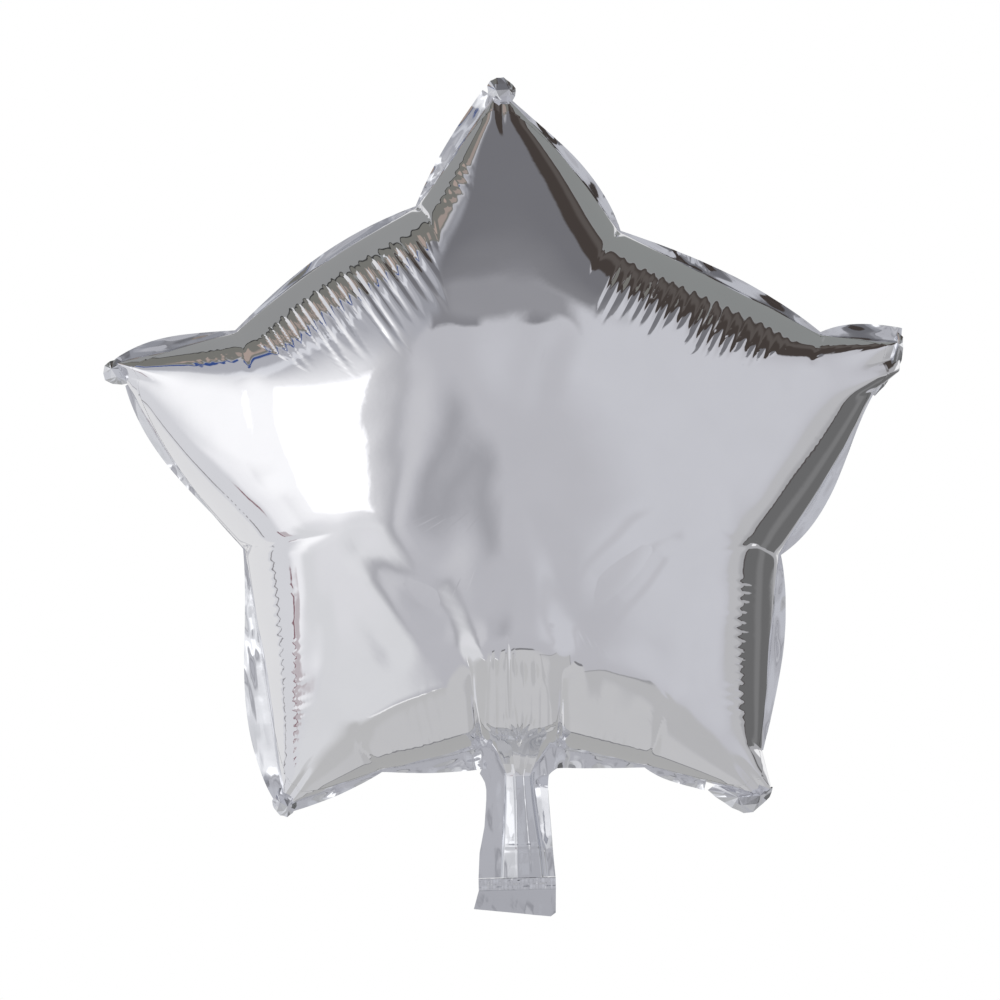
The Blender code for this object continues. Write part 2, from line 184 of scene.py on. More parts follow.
# The back isn't in the picture: folds of the same kind, laid out differently.
BACK_FOLDS = in_metres((
    (((-26, -93), (4.2, -86.7), (32, -94)), -2.2, 12),
    (((-87.4, -133.7), (-61.1, -115.6), (-22.4, -102.6)), -1.3, 9),
    (((24.5, -103), (46.9, -99.6), (87, -128.1)), -1.3, 10),
    (((-45, 90), (-18, 62), (6, 30), (26, -12), (30, -56), (24, -92)), 1.4, 17),
    (((10, 50), (42, 20), (52, -15), (50, -45)), -1, 16),
    (((-93.7, -24.4), (-64, -38), (-40, -60), (-23.8, -87)), 1.4, 12),
    (((-50, 45), (-62, 10), (-60, -25)), -0.9, 18),
    (((102.7, -22), (78, -40), (56, -62), (29, -90)), 1.4, 11),
    (((-136, 62), (-102, 42), (-60, 35)), 0.9, 13),
    (((164, 57), (120, 40), (80, 38)), 0.9, 13),
))


def smooth_step(low, high, value):
    """0 below low, 1 above high, and 3t^2 - 2t^3 of the share t between them."""
    share = np.clip((value - low) / (high - low), 0.0, 1.0)
    return share * share * (3 - 2 * share)


def fade_ends(share, part):
    """0 at both ends of a share, and 1 from that part of it inwards."""
    return smooth_step(0.0, part, share) * smooth_step(0.0, part, 1 - share)


def length_so_far(x, z):
    """Length of the way through the points up to each of them."""
    return np.concatenate([[0.0], np.cumsum(np.hypot(np.diff(x), np.diff(z)))])


def weld_line(count, first=0, last=len(WELD_CORNERS), spots=200):
    """count points along the weld from one corner to another: x, z, and corner plus share.

    A side runs straight between its corners, plus its bow times the sine of the share of pi.
    The points are even, but lie MOUTH_DENSER times as close where the tail opens.
    """
    xs, zs, corners = [], [], []
    share = np.linspace(0.0, 1.0, spots, endpoint=False)
    total = len(WELD_CORNERS)
    for corner in range(first, last):
        x0, z0, _, bow = WELD_CORNERS[corner % total]
        x1, z1 = WELD_CORNERS[(corner + 1) % total][:2]
        length = math.hypot(x1 - x0, z1 - z0)
        out = bow * np.sin(np.pi * share)
        xs.append(x0 + (x1 - x0) * share + (z0 - z1) / length * out)
        zs.append(z0 + (z1 - z0) * share + (x1 - x0) / length * out)
        corners.append(corner + share)
    xs.append([WELD_CORNERS[last % total][0]])
    zs.append([WELD_CORNERS[last % total][1]])
    corners.append([last])
    x, z, corner = np.concatenate(xs), np.concatenate(zs), np.concatenate(corners)
    run = length_so_far(x, z)
    closed = last - first == total
    near_mouth = np.abs(corner - MOUTH_CORNER - 0.5) < 0.7
    dense = np.where(near_mouth, MOUTH_DENSER, 1.0)
    even = np.concatenate([[0.0], np.cumsum(np.diff(run) * dense[1:])])
    at = np.interp(np.linspace(0.0, even[-1], count, endpoint=not closed), even, run)
    return np.interp(at, run, x), np.interp(at, run, z), np.interp(at, run, corner)


def place_in_arm(x, z, corner):
    """Angle from the arm's tip, 0 to SECTOR, and the arm's length, for points on the weld.

    On an even star's straight side, the share u of the way from tip to inner corner lies at
    atan2(n u sin S, 1 - u + n u cos S), with n the inner corner's share and S the sector.
    """
    run = length_so_far(x, z)
    total = len(WELD_CORNERS)
    rows = []
    for number, (px, pz, kind, _) in enumerate(WELD_CORNERS):
        nx, nz, next_kind, _ = WELD_CORNERS[(number + 1) % total]
        at = float(number)
        if kind in ("tip", "tail") and next_kind == kind:
            px, pz, at = (px + nx) / 2, (pz + nz) / 2, number + 0.5
        elif kind != "notch":
            continue
        tip = kind == "tip"
        long = math.hypot(px, pz) / (1.0 if tip else NOTCH_SHARE)
        rows.append((np.interp(at, corner, run), 0.0 if tip else 1.0, long))
    lap = run[-1] + math.hypot(x[0] - x[-1], z[0] - z[-1])
    rows.append((rows[0][0] + lap, *rows[0][1:]))
    rows = np.array(rows)
    run = np.where(run < rows[0, 0], run + lap, run)
    before = np.clip(np.searchsorted(rows[:, 0], run, side="right") - 1, 0, len(rows) - 2)
    start, stop = rows[before], rows[before + 1]
    share = (run - start[:, 0]) / (stop[:, 0] - start[:, 0])
    along = start[:, 1] + (stop[:, 1] - start[:, 1]) * share
    angle = np.arctan2(NOTCH_SHARE * along * math.sin(SECTOR),
                       1 - along + NOTCH_SHARE * along * math.cos(SECTOR))
    eased = smooth_step(0.0, 1.0, share)
    return angle, start[:, 2] + (stop[:, 2] - start[:, 2]) * eased


def ring_radius(angle, level):
    """Radius of a level ring as a share of the arm's length.

    An arm is an elliptical cone: (1 - s cos a)^2 - (s sin a / tan t)^2 = level^2. The fold
    between two arms opens out towards the crown.
    """
    rounding = NOTCH_ROUNDING * level
    opened = (np.hypot(SECTOR - angle, rounding) - rounding) / (
        np.hypot(SECTOR, rounding) - rounding)
    angle = SECTOR * (1 - opened)
    half_tan = NOTCH_SHARE * math.sin(SECTOR) / (1 - NOTCH_SHARE * math.cos(SECTOR))
    along = np.cos(angle)
    spread = along**2 - (np.sin(angle) / half_tan) ** 2
    return (along - np.sqrt(along**2 - (1 - level**2) * spread)) / spread


def rounded_rings(x, z, level):
    """The rings with their kinks blurred by a Gaussian over the way round the crown.

    Its width is nothing at the weld, ARM_BLUR on the arms and CROWN_BLUR more at the crown.
    The radius at each of 1440 even directions is filtered by its Fourier series.
    """
    spots = 1440
    even = np.arange(spots) * 2 * np.pi / spots
    way, radius = np.arctan2(z[0], x[0]), np.hypot(x, z)
    rings = np.array([np.interp(even, way, ring, period=2 * np.pi) for ring in radius])
    blur = ARM_BLUR * smooth_step(0.04, 0.3, level) + CROWN_BLUR * smooth_step(0.25, 0.9, level)
    series = np.fft.rfft(rings, axis=1)
    series *= np.exp(-((np.arange(series.shape[1]) * blur) ** 2) / 2)
    rings = np.fft.irfft(series, spots, axis=1)
    share = smooth_step(0.02, 0.12, level)
    soft = np.array([np.interp(way, even, ring, period=2 * np.pi) for ring in rings])
    scale = 1 + (soft / radius - 1) * share
    return x * scale, z * scale


FIRST_LEVELS = (0.0, 0.006, 0.015, 0.03, 0.05)


def film_levels(rows):
    """Levels whose rings lie close together by the weld and further apart towards the crown.

    The wanted distance from the weld grows as k + 2.2 k^3 of the row's share k. FIRST_LEVELS
    come before them, because on an arm's ridge the first rings would lie far apart.
    """
    level = np.linspace(0.0, 1.0, 2000)
    distance = 1 - ring_radius(SECTOR * 0.55, level) / ring_radius(SECTOR * 0.55, 0.0)
    share = np.linspace(0.0, 1.0, rows - len(FIRST_LEVELS) + 2)[:-1]
    wanted = (share + 2.2 * share**3) / 3.2
    return np.concatenate([FIRST_LEVELS, np.interp(wanted, distance, level)[1:]])


def grid_normals(points, side):
    """Unit normals of a ring grid, across the two grid directions, turned outwards."""
    along = np.roll(points, -1, 1) - np.roll(points, 1, 1)
    inward = np.gradient(points, axis=0)
    normal = np.cross(along, inward)
    normal /= np.linalg.norm(normal, axis=2, keepdims=True) + 1e-12
    facing = np.sign(normal[len(normal) // 2, :, 1].mean())
    return normal * side * facing


def path_distance(x, z, path):
    """Distance from each point to a polyline in the XZ plane, and the share of its length."""
    path = np.array(path)
    lengths = np.hypot(*np.diff(path, axis=0).T)
    runs = length_so_far(*path.T)
    best = np.full(x.shape, np.inf)
    share = np.zeros(x.shape)
    for (x0, z0), (x1, z1), length, run in zip(path, path[1:], lengths, runs):
        t = ((x - x0) * (x1 - x0) + (z - z0) * (z1 - z0)) / length**2
        t = np.clip(t, 0.0, 1.0)
        away = np.hypot(x - x0 - (x1 - x0) * t, z - z0 - (z1 - z0) * t)
        nearer = away < best
        best = np.where(nearer, away, best)
        share = np.where(nearer, (run + t * length) / runs[-1], share)
    return best, share


def ripple_height(x, z, corner, chance):
    """Height of the ripples: sine lobes side by side, from their start to their end inwards.

    Width, height, start and end of each lobe differ at random. Past its peak a lobe falls to
    half its height, and then to nothing.
    """
    height = np.zeros(x.shape)
    for side, begin, end, tilt, *lengths in RIPPLES:
        pitch0, pitch1, *reach = in_metres(tuple(lengths))
        x0, z0, _, bow = WELD_CORNERS[side]
        x1, z1 = WELD_CORNERS[(side + 1) % len(WELD_CORNERS)][:2]
        length = math.hypot(x1 - x0, z1 - z0)
        along = ((x - x0) * (x1 - x0) + (z - z0) * (z1 - z0)) / length
        deep = ((x - x0) * (z1 - z0) - (z - z0) * (x1 - x0)) / length
        share = along / length
        deep = deep + bow * np.sin(np.pi * np.clip(share, 0, 1))
        edges = [begin * length]
        while edges[-1] < end * length:
            part = (edges[-1] / length - begin) / (end - begin)
            pitch = pitch0 + (pitch1 - pitch0) * part
            edges.append(edges[-1] + pitch * chance.uniform(0.78, 1.22))
        edges = np.array(edges)
        lobes = len(edges) - 1
        size = chance.uniform(0.7, 1.15, lobes)
        stop = chance.uniform(0.72, 1.08, lobes)
        begin_in = chance.uniform(0.8, 1.25, lobes)
        lobe = np.clip(np.searchsorted(edges, along) - 1, 0, lobes - 1)
        width = np.diff(edges)[lobe]
        t = (along - edges[lobe]) / width
        inside = (t > 0) & (t < 1) & (np.floor(corner) == side)
        start, peak, finish = (
            reach[k] + (reach[k + 3] - reach[k]) * np.clip(share, 0, 1) for k in range(3)
        )
        rise = smooth_step(start * begin_in[lobe], peak, deep)
        finish = np.maximum(finish * stop[lobe], 1.1 * peak)
        fall = 1 - 0.5 * smooth_step(peak, peak + 0.4 * (finish - peak), deep)
        fall = fall * (1 - smooth_step(peak + 0.45 * (finish - peak), finish, deep))
        ends = smooth_step(0, 0.06, share - begin) * smooth_step(0, 0.06, end - share)
        wave = np.sin(np.pi * np.clip(t, 0, 1)) - 0.5
        height += inside * tilt * width / np.pi * size[lobe] * wave * rise * fall * ends
    return height


def crinkle(x, z, chance, pitch, count=9):
    """Sum of sine waves in count directions, each about pitch long, of height about 1."""
    total = np.zeros(x.shape)
    for _ in range(count):
        turn, phase = chance.uniform(0, 2 * np.pi, 2)
        length = pitch * chance.uniform(0.7, 1.6)
        total += np.sin(2 * np.pi * (x * np.cos(turn) + z * np.sin(turn)) / length + phase)
    return total / math.sqrt(count)


CRISP = math.radians(50)  # edges sharper than this stay sharp


def put_mesh(name, points, faces, material):
    """A smooth-shaded object from an array of points and one of faces."""
    mesh = bpy.data.meshes.new(name)
    mesh.from_pydata(points.reshape(-1, 3).tolist(), [], faces)
    mesh.validate()
    mesh.shade_smooth()
    mesh.set_sharp_from_angle(angle=CRISP)
    mesh.materials.append(material)
    piece = bpy.data.objects.new(name, mesh)
    bpy.context.scene.collection.objects.link(piece)
    return piece


def ring_quads(start_a, start_b, count):
    """Quads between two closed rings of count points that start at those numbers."""
    i = np.arange(count)
    j = (i + 1) % count
    return np.stack([start_a + i, start_a + j, start_b + j, start_b + i], 1)


def mouth_share(x):
    """Share of the way from the left side of the tail's channel to the right one."""
    low, high = MOUTH_SIDES
    return np.clip((x - low) / (high - low), 0.0, 1.0)


def mouth_depth(x, side):
    """How far the film stands off the weld plane where it runs on into the tail.

    A sine hump to the power 1.3 between the two sides of the tail's channel.
    """
    deep = MOUTH_BACK if side > 0 else MOUTH_FRONT
    return deep * np.sin(np.pi * mouth_share(x)) ** 1.3


def into_neck(points, weld_x, weld_z, level, side):
    """The film of the mouth drawn out into the neck of the tail.

    With u the share of the way from NECK_LEVEL out to the weld, a point moves by u^2 of the way
    from the weld to the neck's end, which has the pleats of the channel.
    """
    share = mouth_share(weld_x)
    held = fade_ends(share, 0.1) * (weld_z < MOUTH_BELOW)
    front = side < 0
    pleats = np.interp(share, *np.array(FRONT_PLEATS if front else BACK_PLEATS).T)
    end_x = NECK_SIDES[0] + (NECK_SIDES[1] - NECK_SIDES[0]) * share
    end_y = side * (NECK_FRONT if front else NECK_BACK) * pleats
    end = np.stack([end_x, end_y, np.full_like(share, NECK_END)], 1)
    u = np.clip(1 - level / NECK_LEVEL, 0.0, 1.0)
    return points + (end - points[0]) * (u**2 * held)[:, :, None]


def film(name, side, grid, folds, seed, material):
    """A dished film with a wall: the outer rings from the weld to the crown, and inner ones.

    The outer face is the plain pillow plus, along its normal, ripples, less creases and folds.
    A crease's depth falls as 1 - sqrt(1 - (1 - q)^2) with q the distance over the half width.
    """
    count, rows, inner_rows = grid
    chance = np.random.default_rng(seed)
    weld_x, weld_z, corner = weld_line(count)
    angle, arm = place_in_arm(weld_x, weld_z, corner)
    weld_radius = np.hypot(weld_x, weld_z)
    level = film_levels(rows)[:, None]
    by = EVENED_TIP + (EVENED_SIDE - EVENED_TIP) * smooth_step(0.0, SECTOR * 0.45, angle)
    evened = smooth_step(0.0, 1.0, level / by)
    plain = arm * ring_radius(angle, 0.0)
    radius = weld_radius + (plain - weld_radius) * evened
    share = ring_radius(angle[None], level) / ring_radius(angle, 0.0) * radius / weld_radius
    x, z = rounded_rings(weld_x * share, weld_z * share, level)
    mouth = mouth_depth(weld_x, side) * (weld_z < MOUTH_BELOW)
    mouth = mouth * (1 - smooth_step(0.0, MOUTH_LEVEL, level))
    y = side * np.hypot(FILM_LIFT + FILM_DEPTH * (2 * level - level**2), mouth)
    base = into_neck(np.stack([x, y, z], 2), weld_x, weld_z, level, side)
    normal = grid_normals(base, 1.0)
    if (normal[rows // 2, :, 1] * side).mean() < 0:
        normal = -normal
    corner = corner[None] * np.ones_like(x)
    height = ripple_height(x, z, corner, chance)
    for path, deep0, deep1, wide0, wide1 in CREASES:
        away, at = path_distance(x, z, path)
        q = np.clip(np.hypot(away / (wide0 + (wide1 - wide0) * at), FINEST_CREASE), 0.0, 1.0)
        shape = 1 - np.sqrt(1 - (1 - q) ** 2)
        height -= (deep0 + (deep1 - deep0) * at ** 0.7) * shape * smooth_step(0.0, 0.1, level)
    for path, deep, wide in folds:
        away, at = path_distance(x, z, path)
        height -= deep * np.exp(-((away / wide) ** 2)) * fade_ends(at, 0.2)
    calm = smooth_step(0.0, 0.25, level)
    height += calm * DIMPLES * crinkle(x, z, chance, DIMPLE_PITCH)
    outer = base + normal * height[:, :, None]
    inner_at = np.unique(np.linspace(0, 1, inner_rows) ** 1.2 * (rows - 1)).astype(int)
    inner = outer[inner_at] - normal[inner_at] * FILM_WALL
    crown = np.array([[0.0, outer[-1, :, 1].mean(), 0.0]])
    inner_crown = np.array([[0.0, inner[-1, :, 1].mean(), 0.0]])
    points = np.concatenate([outer.reshape(-1, 3), inner.reshape(-1, 3), crown, inner_crown])
    quads = [ring_quads(k * count, (k + 1) * count, count) for k in range(rows - 1)]
    base_in = rows * count
    quads += [
        ring_quads(base_in + (k + 1) * count, base_in + k * count, count)
        for k in range(len(inner_at) - 1)
    ]
    quads.append(ring_quads(base_in, 0, count))
    quads = np.concatenate(quads)
    i = np.arange(count)
    j = (i + 1) % count
    top = (rows - 1) * count
    inner_top = base_in + (len(inner_at) - 1) * count
    crown_at = base_in + len(inner_at) * count
    fans = np.concatenate([
        np.stack([top + i, top + j, np.full(count, crown_at)], 1),
        np.stack([inner_top + j, inner_top + i, np.full(count, crown_at + 1)], 1),
    ])
    if side > 0:
        quads, fans = quads[:, ::-1], fans[:, ::-1]
    return put_mesh(name, points, quads.tolist() + fans.tolist(), material)


def new_finish(name):
    """A new material: itself, its nodes and links, and its shader."""
    material = bpy.data.materials.new(name)
    material.use_nodes = True
    nodes, links = material.node_tree.nodes, material.node_tree.links
    return material, nodes, links, nodes["Principled BSDF"]


def set_inputs(node, values):
    """Fill in a node's inputs from their names and values."""
    for name, value in values.items():
        node.inputs[name].default_value = value


def cloudiness(nodes, links, scale, detail):
    """Noise in Object coordinates, with scale as its waves a metre."""
    place = nodes.new("ShaderNodeTexCoord")
    noise = nodes.new("ShaderNodeTexNoise")
    set_inputs(noise, {"Scale": scale, "Detail": detail})
    links.new(place.outputs["Object"], noise.inputs["Vector"])
    return noise.outputs["Fac"]


def roughen(nodes, links, shader, noise, low, high, rough_low, rough_high):
    """Roughness from rough_low to rough_high, as the noise goes from low to high."""
    rough = nodes.new("ShaderNodeMapRange")
    set_inputs(rough, {"From Min": low, "From Max": high,
                       "To Min": rough_low, "To Max": rough_high})
    links.new(noise, rough.inputs["Value"])
    links.new(rough.outputs["Result"], shader.inputs["Roughness"])


HAZE_SCALE, WOBBLE_SCALE = 38.0, 140.0
HAZE_SHADE = 0.94  # the film's colour where the haze is thickest


def foil_finish(name, colour, rough_low, rough_high, wobble):
    """Bright metallised film: a mirror with a faint haze, and a bump of wobble metres."""
    material, nodes, links, shader = new_finish(name)
    set_inputs(shader, {"Metallic": 1.0})
    haze = cloudiness(nodes, links, HAZE_SCALE, 5.0)
    roughen(nodes, links, shader, haze, 0.35, 0.75, rough_low, rough_high)
    tint = nodes.new("ShaderNodeMix")
    tint.data_type = "RGBA"
    set_inputs(tint, {"A": (*colour, 1.0), "B": (*(c * HAZE_SHADE for c in colour), 1.0)})
    links.new(haze, tint.inputs["Factor"])
    links.new(tint.outputs["Result"], shader.inputs["Base Color"])
    bump = nodes.new("ShaderNodeBump")
    set_inputs(bump, {"Strength": 1.0, "Distance": wobble})
    links.new(cloudiness(nodes, links, WOBBLE_SCALE, 2.0), bump.inputs["Height"])
    links.new(bump.outputs["Normal"], shader.inputs["Normal"])
    return material


film_silver = foil_finish("film_silver", (0.93, 0.93, 0.95), 0.02, 0.06, 0.00002)
FRONT_GRID, BACK_GRID = (1360, 62, 10), (1000, 52, 9)  # columns, outer rings, inner rings
front = film("front_foil", -1, FRONT_GRID, FRONT_FOLDS, 11, film_silver)
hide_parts("front_film")
back = film("back_foil", 1, BACK_GRID, BACK_FOLDS, 23, film_silver)
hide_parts("back_film")
for piece in (front, back):
    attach(piece, "root")

# ----------------------------------------
# Rims. Outside the weld both films run on as a narrow margin, sealed to each other. It was cut
# flat, so it has too much length when the weld draws in, and it ruffles and crumples.

# Name, first and last corner, lean backwards, and the width in millimetres at the start, a third,
# two thirds and the end.
RIMS = (
    ("rim_top_right", 1, 2, 0.5, 1, 3, 4.8, 0.8),
    ("rim_right_upper", 2, 3, 0.5, 0.8, 4.6, 5.4, 1),
    ("rim_right_tip", 3, 4, 0.4, 1, 6.4, 7.8, 7),
    ("rim_right_lower", 6, 7, 0.2, 0.8, 2.8, 6.4, 0.8),
    ("rim_low_right_side", 7, 8, 0.12, 1, 6.2, 5, 0.6),
    ("rim_low_right_bottom", 11, 12, 0.3, 4.6, 4.6, 4, 1),
    ("rim_tail_right", 12, 13, 0.35, 1, 4.5, 7.8, 10.8),
    ("rim_tail_left", 14, 15, 0.2, 11.2, 8.6, 5, 1),
    ("rim_low_left_bottom", 15, 16, 0.2, 1, 3.6, 4.6, 4),
    ("rim_low_left_side", 17, 18, 0.42, 5, 12.5, 7, 0.8),
    ("rim_left_lower", 18, 19, 0.4, 0.6, 1.2, 4.2, 1.2),
    ("rim_left_tip", 20, 21, 0.45, 2, 6.6, 5, 1),
    ("rim_left_upper", 21, 22, 0.5, 0.8, 3.2, 3.8, 0.8),
    ("rim_top_left", 22, 23, 0.55, 0.6, 4.9, 6.8, 6.8),
)
RIM_FILM = 0.00025  # both films together
RIM_ROWS, RIM_STEP = 9, 0.0007  # points across a rim, and the step along it
NARROWEST, FULL_WIDTH = 0.0004, 0.005  # a rim of full width has waves of full height
RUFFLE, SHORT_RUFFLE = 0.0012, 0.0004  # height of the long and of the short waves
CRUMPLE, STREAK = 0.0008, 0.00035  # height of crumples and of streaks along the rim


def closed_sheet(name, sheet, thickness, material):
    """A sheet given as x, y and z over a grid, made a closed slab along its own normals."""
    points = np.stack(np.broadcast_arrays(*sheet), 2)
    rows, columns = points.shape[:2]
    normal = np.cross(np.gradient(points, axis=1), np.gradient(points, axis=0))
    normal /= np.linalg.norm(normal, axis=2, keepdims=True) + 1e-12
    both = np.stack([points + normal * thickness / 2, points - normal * thickness / 2])
    number = np.arange(rows * columns).reshape(rows, columns)
    a, b, c, d = number[:-1, :-1], number[:-1, 1:], number[1:, 1:], number[1:, :-1]
    faces = np.stack([a, d, c, b], 2).reshape(-1, 4)
    under = faces[:, ::-1] + rows * columns
    edge = np.concatenate([number[0, :-1], number[:-1, -1], number[-1, :0:-1], number[:0:-1, 0]])
    after = np.roll(edge, -1)
    wall = np.stack([edge, after, after + rows * columns, edge + rows * columns], 1)
    return put_mesh(name, both, np.concatenate([faces, under, wall]).tolist(), material)


def facets(x, z, chance, pitch, count=5):
    """Crumples with sharp edges: the sum of count triangle waves in random directions."""
    total = np.zeros(np.broadcast(x, z).shape)
    for _ in range(count):
        turn, phase = chance.uniform(0, 2 * np.pi, 2)
        length = pitch * chance.uniform(0.7, 1.7)
        run = (x * np.cos(turn) + z * np.sin(turn)) / length + phase
        total += 4 * np.abs(run - np.floor(run) - 0.5) - 1
    return total / math.sqrt(count)


def rim_sheet(first, last, lean, widths, chance, count):
    """Grid of a rim: across it from the weld to a cubic through four widths, ruffled along Y.

    The ruffle grows with the distance from the weld, and crumples with sharp edges lie on it.
    The whole rim leans back by its slope, less at both ends.
    """
    x, z, _ = weld_line(count, first, last)
    run = length_so_far(x, z)
    share = run / run[-1]
    width = sum(
        w * np.prod([(3 * share - j) / (i - j) for j in range(4) if j != i], axis=0)
        for i, w in enumerate(widths)
    )
    width = np.maximum(width, NARROWEST)
    slope_x, slope_z = np.gradient(x, run), np.gradient(z, run)
    length = np.hypot(slope_x, slope_z)
    out_x, out_z = -slope_z / length, slope_x / length
    across = np.linspace(0.0, 1.0, RIM_ROWS)[:, None]
    waves = chance.uniform(1.2, 2.6)
    ruffle = RUFFLE * np.sin(share * 2 * np.pi * waves + chance.uniform(0, 6))
    ruffle = ruffle + SHORT_RUFFLE * np.sin(run / 0.006 + chance.uniform(0, 6))
    px = x + out_x * width * across
    pz = z + out_z * width * across
    lengthwise = run * np.ones_like(across)
    streaks = facets(lengthwise / 5, width * across, chance, 0.005) * STREAK
    crumpled = smooth_step(0.2, 0.7, crinkle(px, pz, chance, 0.06))
    fine = facets(px, pz, chance, 0.009) * CRUMPLE * crumpled + streaks
    reach = np.minimum(width / FULL_WIDTH, 1.3) * across
    leaning = lean * width * across * fade_ends(share, 0.15)
    py = leaning + ruffle * reach**1.4 + fine * np.minimum(reach * 2.0, 1.0)
    return px, py, pz


rim_silver = foil_finish("rim_silver", (0.82, 0.83, 0.86), 0.05, 0.14, 0.00005)
for number, (name, first, last, lean, *widths) in enumerate(RIMS):
    chance = np.random.default_rng(100 + number)
    x0, z0 = WELD_CORNERS[first][:2]
    x1, z1 = WELD_CORNERS[last % len(WELD_CORNERS)][:2]
    count = int(math.hypot(x1 - x0, z1 - z0) / RIM_STEP) + 2
    sheet = rim_sheet(first, last, lean, in_metres(tuple(widths)), chance, count)
    piece = closed_sheet(name + "_foil", sheet, RIM_FILM, rim_silver)
    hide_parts(name)
    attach(piece, "root")

# ----------------------------------------
# Tip caps. At each tip the margin of both arms' sides is folded over itself into a blunt,
# crumpled end.

# Name, outline as x, z and the end of the ridge it leads up to, and both ends of that ridge as
# x, z and how far they stand in front of the weld plane. Lengths are in millimetres.
CAPS = (
    ("tip_cap_top",
     ((-5.7, 213.1, 0), (-4, 215.7, 0), (-0.2, 217.5, 0), (3.5, 217.4, 1),
      (6.7, 214.9, 1), (9.8, 211.6, 1), (9.2, 207.3, 1), (7.5, 204.7, 1),
      (3.7, 203.7, 1), (1, 203.2, 0), (-2.2, 204.9, 0), (-5.3, 208.8, 0)),
     ((-0.9, 210.3, 4.2), (6.1, 210.6, 3.6))),
    ("tip_cap_right",
     ((211.1, 75.7, 0), (214.3, 72.4, 0), (214.1, 66.4, 0), (213.4, 60, 1),
      (209.5, 53.7, 1), (203.4, 46.3, 1), (198.4, 41, 1), (196.3, 42.2, 1),
      (200.2, 48.5, 1), (205.2, 55.9, 1), (208.1, 62.3, 0), (208.8, 68.7, 0)),
     ((211.5, 68.1, 5.2), (205.1, 51.6, 5))),
    ("tip_cap_low_right",
     ((138.1, -167.6, 1), (136.3, -172.9, 1), (132.5, -176.6, 1), (127, -180.8, 1),
      (122.1, -181.2, 0), (115.8, -178.3, 0), (107.3, -172.2, 0), (103.1, -168.3, 0),
      (107.5, -165.2, 0), (117.1, -167.6, 0), (126.8, -169.5, 1), (133.3, -166.9, 1)),
     ((119.2, -172.5, 3.4), (131, -171.7, 4.6))),
    ("tip_cap_low_left",
     ((-127.3, -160.7, 0), (-129, -163.8, 0), (-131.3, -168.1, 0),
      (-130.3, -172.4, 0), (-127.2, -175.7, 1), (-123.5, -176.9, 1),
      (-120.2, -174.8, 1), (-117.9, -171.1, 1), (-118.4, -166.8, 1),
      (-121, -165.1, 1), (-123.7, -166.1, 0), (-125.2, -162.3, 0)),
     ((-127, -168.7, 4), (-122.8, -171, 4))),
    ("tip_cap_left",
     ((-208.4, 71.6, 0), (-212.1, 70.6, 0), (-215.4, 68, 0), (-215.8, 64.3, 0),
      (-215.1, 60.5, 1), (-210.9, 58.2, 1), (-206, 57.6, 1), (-201.7, 58.5, 1),
      (-201.1, 62.3, 1), (-203.1, 66.1, 0), (-205.2, 69.9, 0)),
     ((-211.2, 66.3, 4.4), (-208.6, 61.9, 4.4))),
)
CAP_BACK = 0.7  # the folds behind the weld plane against those in front of it
CAP_CUTS = 1


def cap_mesh(name, outline, ridge, chance, material):
    """A folded tip: flat facets from a crumpled outline up to a ridge in front and behind.

    Between its points the outline has CAP_CUTS more on the straight line, pushed at random.
    """
    outline = np.round(np.array(outline) / (1000, 1000, 1), 6)
    ridge = np.array(in_metres(ridge))
    ahead = np.roll(outline, -1, 0)
    steps = np.arange(CAP_CUTS + 1)[None, :, None] / (CAP_CUTS + 1)
    edge = (outline[:, None] + (ahead - outline)[:, None] * steps).reshape(-1, 3)
    count = len(edge)
    push = chance.uniform(-0.0002, 0.0002, (count, 2))
    depth = chance.uniform(-0.0005, 0.0005, count)
    loop = np.stack([edge[:, 0] + push[:, 0], depth, edge[:, 1] + push[:, 1]], 1)
    end = np.rint(edge[:, 2]).astype(int)
    front_ridge = np.stack([ridge[:, 0], -ridge[:, 2], ridge[:, 1]], 1)
    back_ridge = np.stack([ridge[:, 0], ridge[:, 2] * CAP_BACK, ridge[:, 1]], 1)
    middle = loop + (front_ridge[end] - loop) * 0.5
    middle[:, 1] -= chance.uniform(-0.0001, 0.0009, count)
    behind = loop + (back_ridge[end] - loop) * 0.5
    behind[:, 1] += chance.uniform(-0.0001, 0.0009, count)
    points = np.concatenate([loop, middle, behind, front_ridge, back_ridge])
    faces = []
    for k in range(count):
        j = (k + 1) % count
        for base, top, turn in ((count, 3 * count, 1), (2 * count, 3 * count + 2, -1)):
            new = [(k, j, base + j), (k, base + j, base + k), (base + k, base + j, top + end[k])]
            if end[k] != end[j]:
                new.append((base + j, top + end[j], top + end[k]))
            faces += [face[::turn] for face in new]
    piece = put_mesh(name, points, faces, material)
    piece.data.shade_flat()
    return piece


for number, (name, outline, ridge) in enumerate(CAPS):
    chance = np.random.default_rng(200 + number)
    piece = cap_mesh(name + "_foil", outline, ridge, chance, rim_silver)
    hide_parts(name)
    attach(piece, "root")

# ----------------------------------------
# Tail. The filling channel between two films, with a welded margin down each side, a crimped
# weld across its end, two open lips below it and the mouth of the valve's sleeve between them.

